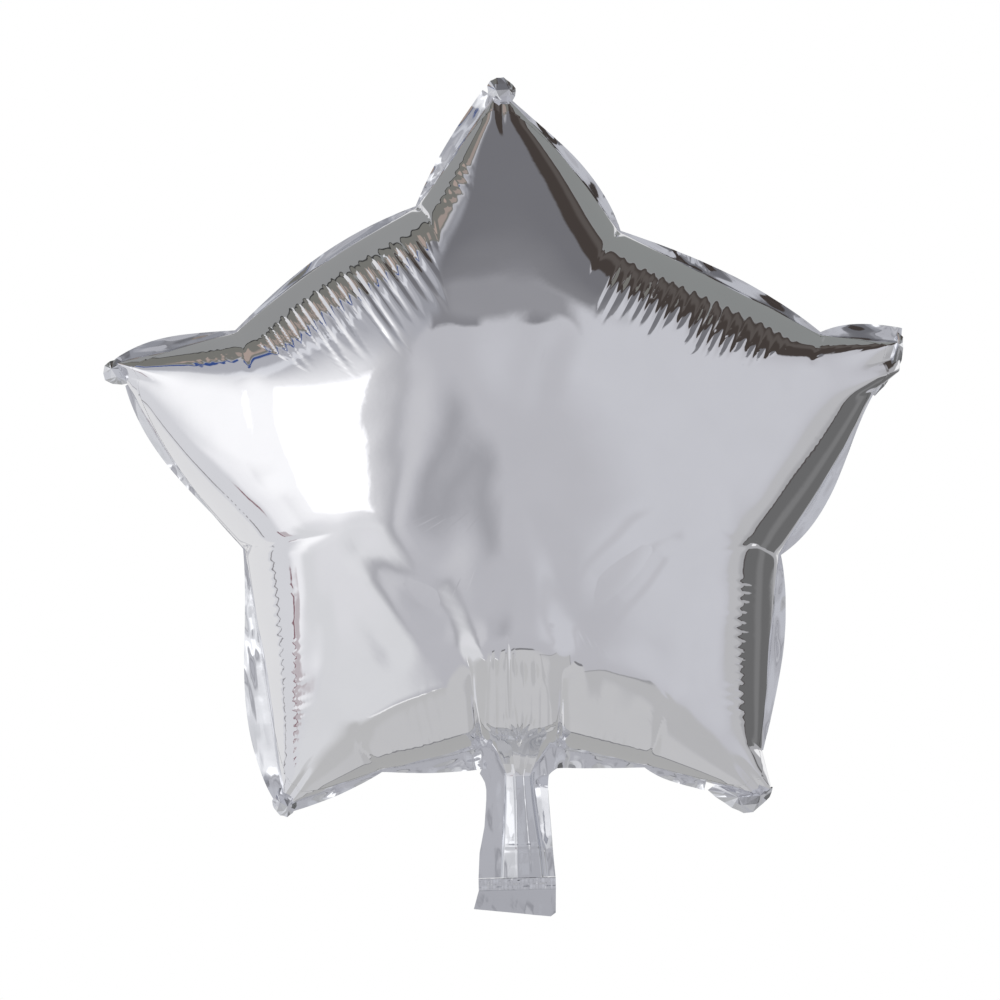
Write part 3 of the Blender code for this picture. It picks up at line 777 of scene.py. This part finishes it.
# In millimetres: z, left edge, left and right side of the channel, right edge, depth in front
# and behind.
TAIL_STATIONS = np.array(in_metres((
    (-144.2, -18, -13.5, 19, 23.3, 10.5, 7),
    (-147.5, -17.4, -10.8, 16, 23.1, 10.2, 6.6),
    (-152, -17.2, -8, 12.4, 22.9, 9.6, 6.2),
    (-154.5, -18.5, -6.8, 11, 22.4, 9.2, 6),
    (-156.2, -19.3, -6.2, 10.4, 19.6, 7.8, 5.9),
    (-158, -18.2, -6, 10, 17.8, 7.4, 5.8),
    (-161.2, -16.6, -6, 10.1, 17.3, 6.8, 5.6),
    (-165, -16, -6.1, 10.4, 17.1, 6.2, 5.3),
    (-170, -16.1, -6.2, 10.8, 17.3, 6, 5),
    (-185, -17.5, -7.2, 12.8, 18.2, 6, 4),
    (-199, -20.5, -8.6, 15, 19, 5.8, 3),
    (-212.5, -21.4, -9.4, 16.2, 20, 3.6, 1.8),
)))
TAIL_ROWS, TAIL_COLUMNS = 150, 110
CHANNEL_TOP = -0.1562  # inside the neck that the films form
INSIDE_NECK, NECK_LENGTH = 0.0008, 0.008  # how far inside it lies, and how soon no more
TAIL_CREASE = -0.1955  # a crease across the tail
TAIL_FILM, MARGIN_FILM, END_WELD_FILM = 0.0002, 0.0003, 0.0006
LONG = 6  # streaks down the tail are this much longer than wide
MARGIN_UNDER = 0.003  # how far each side margin reaches under the channel


def tail_column(z, column):
    """A station value at height z, by straight lines between stations."""
    return np.interp(-z, -TAIL_STATIONS[:, 0], TAIL_STATIONS[:, column])


def tail_crumples(x, z, chance, height, streak):
    """Crumples of the tail, and streaks LONG times as long as wide, of those heights."""
    return facets(x, z, chance, 0.014) * height + facets(x, z / LONG, chance, 0.008) * streak


def channel_sheet(pleats, depth_column, side, chance):
    """Grid of one film of the channel: its depth times the pleats, with crumples.

    Its top lies INSIDE_NECK within the neck of the films, by less and less over NECK_LENGTH.
    """
    z = np.linspace(CHANNEL_TOP, TAIL_STATIONS[-1, 0], TAIL_ROWS)[:, None]
    across = np.linspace(0.0, 1.0, TAIL_COLUMNS)[None]
    left, right = tail_column(z, 2), tail_column(z, 3)
    depth = tail_column(z, depth_column)
    x = left + (right - left) * across
    share = np.interp(across, *np.array(pleats).T)
    kernel = np.ones(5) / 5
    share = np.convolve(np.pad(share[0], 2, mode="edge"), kernel, mode="valid")[None]
    free = smooth_step(0.0, NECK_LENGTH, CHANNEL_TOP - z)
    crumple = tail_crumples(x, z, chance, 0.00015, 0.0002)
    crumple = crumple + 0.0006 * np.exp(-(((z - TAIL_CREASE) / 0.0012) ** 2))
    y = depth * share - INSIDE_NECK * (1 - free) + free * crumple * np.minimum(
        4 * across * (1 - across), 0.5) * 2
    return x, side * np.maximum(y, 0.0003), z


tail_silver = foil_finish("tail_silver", (0.76, 0.77, 0.8), 0.03, 0.1, 0.00004)
for name, pleats, column, side in (
    ("tail_front", FRONT_PLEATS, 5, -1), ("tail_back", BACK_PLEATS, 6, 1),
):
    chance = np.random.default_rng(300 + column)
    sheet = channel_sheet(pleats, column, side, chance)
    piece = closed_sheet(name + "_foil", sheet, TAIL_FILM, tail_silver)
    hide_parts(name)
    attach(piece, "root")

# Each margin leans back from its outer edge by its slope, between the neck and the crease.
for name, outer_column, inner_column, seed, lean, top in (
    ("tail_side_left", 1, 2, 31, 0.06, -0.1423), ("tail_side_right", 3, 4, 32, -0.5, -0.1433),
):
    chance = np.random.default_rng(seed)
    z = np.linspace(top, TAIL_STATIONS[-1, 0], TAIL_ROWS)[:, None]
    across = np.linspace(0.0, 1.0, 18)[None]
    low, high = tail_column(z, outer_column), tail_column(z, inner_column)
    low, high = (low, high + MARGIN_UNDER) if outer_column == 1 else (low - MARGIN_UNDER, high)
    x = low + (high - low) * across
    y = tail_crumples(x, z, chance, 0.00022, 0.00026)
    y = y + lean * (x - low) * smooth_step(0.157, 0.166, -z) * (1 - smooth_step(0.19, 0.2, -z))
    piece = closed_sheet(name + "_foil", (x, y, z), MARGIN_FILM, rim_silver)
    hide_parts(name)
    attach(piece, "root")

# Weld across the end: top and bottom, with fine crimps across it.
TAIL_WELD_TOP, TAIL_WELD_BOTTOM = -0.2128, -0.219
TAIL_WELD_FORWARD = 0.0008  # how far it lies in front of the weld plane
left, right = TAIL_STATIONS[-1, 1], TAIL_STATIONS[-1, 4]
chance = np.random.default_rng(41)
z = np.linspace(TAIL_WELD_TOP, TAIL_WELD_BOTTOM, 28)[:, None]
x = left + (right - left) * np.linspace(0.0, 1.0, 220)[None]
down = (TAIL_WELD_TOP - z) / (TAIL_WELD_TOP - TAIL_WELD_BOTTOM)
y = 0.00016 * np.sin(down * np.pi * 4) + 0.00004 * np.sin(x / 0.00035)
y = y + facets(x, z, chance, 0.006) * 0.00022
sheet = (x, y - TAIL_WELD_FORWARD, z)
piece = closed_sheet("tail_weld_foil", sheet, END_WELD_FILM, rim_silver)
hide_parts("tail_weld")
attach(piece, "root")

# Lips: each film runs on below the weld, a little apart from the other, and curls.
LIP_LOW_LEFT = (-0.0243, -0.2288)
LIP_LOW_MIDDLE = (0.0169, -0.2338)
LIP_LOW_RIGHT = (0.0196, -0.2318)


def lip_sheet(stand_off, chance):
    """Grid of a lip: straight lines from the weld down to the cut edge, with crumples.

    It stands off the weld plane by the square root of the way down.
    """
    across = np.linspace(0.0, 1.0, 160)[None]
    down = np.linspace(0.0, 1.0, 44)[:, None]
    low = np.array((LIP_LOW_LEFT, LIP_LOW_MIDDLE, LIP_LOW_RIGHT))
    low_x = LIP_LOW_LEFT[0] + (LIP_LOW_RIGHT[0] - LIP_LOW_LEFT[0]) * across
    low_z = np.interp(low_x, low[:, 0], low[:, 1])
    top_x = left + (right - left) * across
    x = top_x + (low_x - top_x) * down
    z = TAIL_WELD_BOTTOM - 0.0001 + (low_z - TAIL_WELD_BOTTOM) * down
    crumple = facets(x, z / 2, chance, 0.009) * 0.00026 + facets(x, z, chance, 0.016) * 0.0002
    y = stand_off * (0.3 + 0.7 * np.sqrt(down)) + crumple * down
    return x, y, z


for name, stand_off, seed in (("tail_lip_front", -0.0014, 51), ("tail_lip_back", 0.0014, 52)):
    sheet = lip_sheet(stand_off, np.random.default_rng(seed))
    piece = closed_sheet(name + "_foil", sheet, TAIL_FILM, tail_silver)
    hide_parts(name)
    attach(piece, "root")

# Valve sleeve: two layers of clear film, heat-sealed along their sides.
valve_clear, nodes, links, shader = new_finish("valve_clear_film")
set_inputs(shader, {"Base Color": (0.8, 0.83, 0.84, 1.0), "Transmission Weight": 0.6,
                    "IOR": 1.45})
roughen(nodes, links, shader, cloudiness(nodes, links, 300.0, 2.0), 0.0, 1.0, 0.18, 0.45)
SLEEVE_END, SLEEVE_SIDES = -0.2288, (-0.0105, 0.0125)
chance = np.random.default_rng(61)
z = np.linspace(TAIL_WELD_BOTTOM - 0.0003, SLEEVE_END, 30)[:, None]
x = np.linspace(*SLEEVE_SIDES, 60)[None]
y = facets(x, z, chance, 0.008) * 0.00015
piece = closed_sheet("valve_sleeve_film", (x, y, z), TAIL_FILM, valve_clear)
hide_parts("valve_sleeve")
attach(piece, "root")

# ----------------------------------------
# Studio. A white room with a softbox at the left, a darker ceiling and grey walls behind, which
# the film mirrors. The camera sees plain white behind the balloon, and a pale floor below it.

# What the film mirrors, from back to front. A sector: its place round the view as a clock angle
# (0 right, 90 up), half its width and the softness of its sides, then its angle off the way to
# the camera, half its depth and the softness of those edges, all in degrees, and its colour.
SECTORS = (
    ("room_right", 5, 70, 40, 45, 23, 16, (0.6, 0.605, 0.64)),
    ("room_low_right", -42, 22, 14, 31, 3.5, 6, (0.54, 0.54, 0.57)),
    ("room_below", 270, 36, 40, 40, 26, 18, (0.51, 0.51, 0.54)),
    ("top_grey", 84, 27, 2, 62, 13, 6, (0.24, 0.24, 0.255)),
    ("top_grey_low", 98, 16, 5, 44, 9, 1.5, (0.25, 0.25, 0.268)),
    ("top_dark", 80, 26, 6, 70, 14, 16, (0.18, 0.18, 0.195)),
    ("top_low", 86, 13, 12, 44, 6, 5, (0.31, 0.31, 0.33)),
    ("upper_left", 131, 19, 4, 57, 20, 4, (0.44, 0.445, 0.48)),
    ("upper_left_white", 131, 19, 4, 64, 3, 3, (0.7, 0.71, 0.75)),
    ("top_left_light", 112, 8, 7, 57, 17, 8, (0.34, 0.345, 0.375)),
    ("floor_left", 246, 18, 2, 105, 45, 1.5, (0.53, 0.53, 0.53)),
    ("floor_middle", 271, 9, 8, 97, 55, 1.5, (0.57, 0.57, 0.575)),
    ("floor_right", 293, 14, 6, 101, 50, 1.5, (0.5, 0.5, 0.505)),
    ("floor_far", 270, 44, 4, 134, 22, 2, (0.43, 0.43, 0.425)),
    ("floor_line", 270, 44, 4, 111, 1.0, 0.8, (0.24, 0.24, 0.25)),
    ("floor_edge_left", 243, 13, 2, 60.5, 0.9, 0.8, (0.95, 0.95, 0.95)),
    ("floor_edge_middle", 271, 9, 2, 41.0, 1.8, 1.0, (0.22, 0.22, 0.23)),
    ("floor_edge_right", 293, 14, 4, 51, 0.8, 1.4, (0.34, 0.34, 0.35)),
    ("right_side", -5, 26, 4, 112, 40, 4, (0.42, 0.42, 0.43)),
    ("right_strip", -22, 24, 6, 76, 6, 5, (0.52, 0.52, 0.53)),
    ("right_dark", -26, 17, 2, 124, 37, 1.5, (0.15, 0.15, 0.15)),
    ("right_dark_pale", -26, 17, 2, 112, 6, 8, (0.205, 0.205, 0.205)),
    ("right_line", -26, 17, 2, 87.5, 0.8, 0.8, (0.09, 0.08, 0.08)),
    ("right_outer", -18, 26, 4, 154, 6, 3, (0.42, 0.42, 0.43)),
    ("right_white", 5, 4, 2, 130, 40, 4, (0.95, 0.95, 0.95)),
    ("wall_left", 190, 43, 3, 100, 38, 5, (0.7, 0.705, 0.73)),
    ("wall_left_back", 192, 42, 4, 130, 26, 3, (0.78, 0.78, 0.785)),
    ("left_bright", 198, 10, 8, 70, 8, 7, (0.9, 0.9, 0.92)),
    ("left_line", 190, 16, 3, 99.5, 0.8, 0.8, (0.28, 0.27, 0.28)),
    ("left_red", 206, 5, 2, 77, 2.5, 1.5, (0.54, 0.49, 0.51)),
    ("left_red_line", 205, 6, 2, 80.5, 0.7, 0.6, (0.26, 0.15, 0.17)),
    ("ceiling_right", 53, 37, 3, 90, 15, 2.5, (0.062, 0.051, 0.046)),
    ("ceiling_right_pale", 50, 34, 6, 96, 5, 6, (0.105, 0.092, 0.085)),
    ("back_right", 50, 40, 4, 132, 27, 2.5, (0.26, 0.27, 0.265)),
    ("ceiling_left", 119, 29, 2, 94, 15, 2, (0.195, 0.193, 0.176)),
    ("beige", 139, 9, 2, 90, 8, 2, (0.42, 0.34, 0.3)),
    ("beige_high", 112, 7, 2, 86, 5, 2, (0.36, 0.3, 0.27)),
    ("blue", 138, 12, 4, 77, 1.3, 1.5, (0.04, 0.08, 0.25)),
    ("back_left", 119, 30, 4, 134, 25, 2, (0.3, 0.305, 0.305)),
    ("ceiling_line", 119, 30, 4, 109, 1.2, 0.9, (0.05, 0.05, 0.05)),
    ("backdrop", 0, 181, 2, 180, 20, 8, (0.8, 0.8, 0.8)),
)
# A panel: degrees to the right of the camera, half its width and the softness of its sides, then
# degrees up, half its height and softness, and its colour.
PANELS = (
    ("room_left", -29, 5, 4, 0, 30, 12, (0.44, 0.44, 0.465)),
    ("pale_strip", -20.5, 3.5, 6, 0, 22, 16, (0.595, 0.595, 0.62)),
    ("camera_stand", -9, 3.5, 8, 0, 16, 14, (0.38, 0.38, 0.405)),
    ("softbox_low", -49, 17, 8, -33, 19, 12, (0.72, 0.725, 0.74)),
    ("softbox_low_lit", -44, 8, 10, -24, 7, 12, (0.76, 0.76, 0.78)),
    ("softbox_glow", -53, 20, 18, 7, 19, 20, (1.05, 1.05, 1.06)),
    ("softbox", -42.5, 9.5, 1.5, 8, 13, 3, (1.3, 1.3, 1.32)),
)
ROOM_GREY = (0.52, 0.52, 0.55)

world = bpy.data.worlds.new("studio")
bpy.context.scene.world = world
world.use_nodes = True
nodes, links = world.node_tree.nodes, world.node_tree.links
background = nodes["Background"]
way = nodes.new("ShaderNodeTexCoord").outputs["Generated"]  # in a world, the direction


def calculate(operation, first, second=None):
    """A Math node on one or two sockets or numbers."""
    node = nodes.new("ShaderNodeMath")
    node.operation = operation
    for socket, value in zip(node.inputs, (first, second)):
        if hasattr(value, "links"):
            links.new(value, socket)
        elif value is not None:
            socket.default_value = value
    return node.outputs["Value"]


def along(vector):
    """The share of the direction that lies along a fixed vector."""
    node = nodes.new("ShaderNodeVectorMath")
    node.operation = "DOT_PRODUCT"
    node.inputs[1].default_value = vector
    links.new(way, node.inputs[0])
    return node.outputs["Value"]


def within(angle, half, soft):
    """1 where the angle is inside plus or minus half, falling to 0 over the soft edge."""
    node = nodes.new("ShaderNodeMapRange")
    node.interpolation_type = "SMOOTHSTEP"
    set_inputs(node, {"From Min": math.radians(half + soft / 2),
                      "From Max": math.radians(half - soft / 2)})
    links.new(calculate("ABSOLUTE", angle), node.inputs["Value"])
    return node.outputs["Result"]


def lay_over(label, under, mask_across, mask_along, shade):
    """The colour laid over what is under it, where both masks are 1."""
    blend = nodes.new("ShaderNodeMix")
    blend.label = label
    blend.data_type = "RGBA"
    links.new(calculate("MULTIPLY", mask_across, mask_along), blend.inputs["Factor"])
    if hasattr(under, "links"):
        links.new(under, blend.inputs["A"])
    else:
        blend.inputs["A"].default_value = (*under, 1.0)
    blend.inputs["B"].default_value = (*shade, 1.0)
    return blend.outputs["Result"]


mixed = ROOM_GREY
off_camera = calculate("ARCCOSINE", along((0.0, -1.0, 0.0)))
for name, clock, half_clock, soft_clock, off, half_off, soft_off, shade in SECTORS:
    turn = math.radians(clock)
    turned = calculate("ARCTAN2", along((-math.sin(turn), 0.0, math.cos(turn))),
                       along((math.cos(turn), 0.0, math.sin(turn))))
    beyond = calculate("SUBTRACT", off_camera, math.radians(off))
    mixed = lay_over(name, mixed, within(turned, half_clock, soft_clock),
                     within(beyond, half_off, soft_off), shade)
for name, right_by, half_wide, soft_wide, up_by, half_high, soft_high, shade in PANELS:
    turn, rise = math.radians(right_by), math.radians(up_by)
    ahead = (math.sin(turn) * math.cos(rise), -math.cos(turn) * math.cos(rise), math.sin(rise))
    right = (math.cos(turn), math.sin(turn), 0.0)
    sideways = calculate("ARCTAN2", along(right), along(ahead))
    upwards = calculate("ARCSINE", along(np.cross(ahead, right)))
    mixed = lay_over(name, mixed, within(sideways, half_wide, soft_wide),
                     within(upwards, half_high, soft_high), shade)
links.new(mixed, background.inputs["Color"])
plain = nodes.new("ShaderNodeBackground")
set_inputs(plain, {"Color": (1.0, 1.0, 1.0, 1.0)})
path = nodes.new("ShaderNodeLightPath")
seen = nodes.new("ShaderNodeMixShader")
links.new(path.outputs["Is Camera Ray"], seen.inputs["Fac"])
links.new(background.outputs["Background"], seen.inputs[1])
links.new(plain.outputs["Background"], seen.inputs[2])
links.new(seen.outputs["Shader"], nodes["World Output"].inputs["Surface"])

# Floor: a plain pale disc below the balloon.
FLOOR_HEIGHT, FLOOR_RADIUS, FLOOR_POINTS = -0.7, 3.2, 128
turn = np.linspace(0.0, 2 * np.pi, FLOOR_POINTS, endpoint=False)
ring = np.stack([FLOOR_RADIUS * np.cos(turn), FLOOR_RADIUS * np.sin(turn),
                 np.full(FLOOR_POINTS, FLOOR_HEIGHT)], 1)
pale, _, _, shader = new_finish("floor_pale")
set_inputs(shader, {"Base Color": (0.86, 0.86, 0.86, 1.0), "Roughness": 0.9})
floor = put_mesh("floor", ring, [list(range(FLOOR_POINTS))], pale)
floor.visible_glossy = False
floor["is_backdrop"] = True

# Soft light from above for the floor and its shadow. The film doesn't mirror it.
lamp = bpy.data.lights.new("soft_top_light", "AREA")
lamp.shape = "DISK"
lamp.size = 2.4
lamp.energy = 110.0
soft_top = bpy.data.objects.new("soft_top_light", lamp)
soft_top.location = (-0.6, -0.8, 2.6)
soft_top.rotation_euler = (math.radians(-17), math.radians(-13), 0.0)
soft_top.visible_glossy = False
soft_top.visible_camera = False
bpy.context.scene.collection.objects.link(soft_top)

# Camera: level with the star and square to it, turned by the star's own tilt in the picture.
CAMERA_DISTANCE = 2.6
PICTURE_WIDTH = 0.5375  # what the picture spans at the weld plane
PICTURE_MIDDLE = (-0.00455, -0.00956)  # x and z of that plane at the picture's middle
ROLL = math.radians(1.5)
SENSOR = 36.0  # in millimetres, as the focal length is
lens = bpy.data.cameras.new("camera")
lens.sensor_width = SENSOR
lens.lens = SENSOR * CAMERA_DISTANCE / PICTURE_WIDTH
camera = bpy.data.objects.new("camera", lens)
camera.location = (PICTURE_MIDDLE[0], -CAMERA_DISTANCE, PICTURE_MIDDLE[1])
camera.rotation_euler = (math.radians(90), ROLL, 0.0)
bpy.context.scene.collection.objects.link(camera)
bpy.context.scene.camera = camera
bpy.context.scene.view_settings.view_transform = "Standard"
bpy.context.scene.view_settings.look = "None"

low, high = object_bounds()
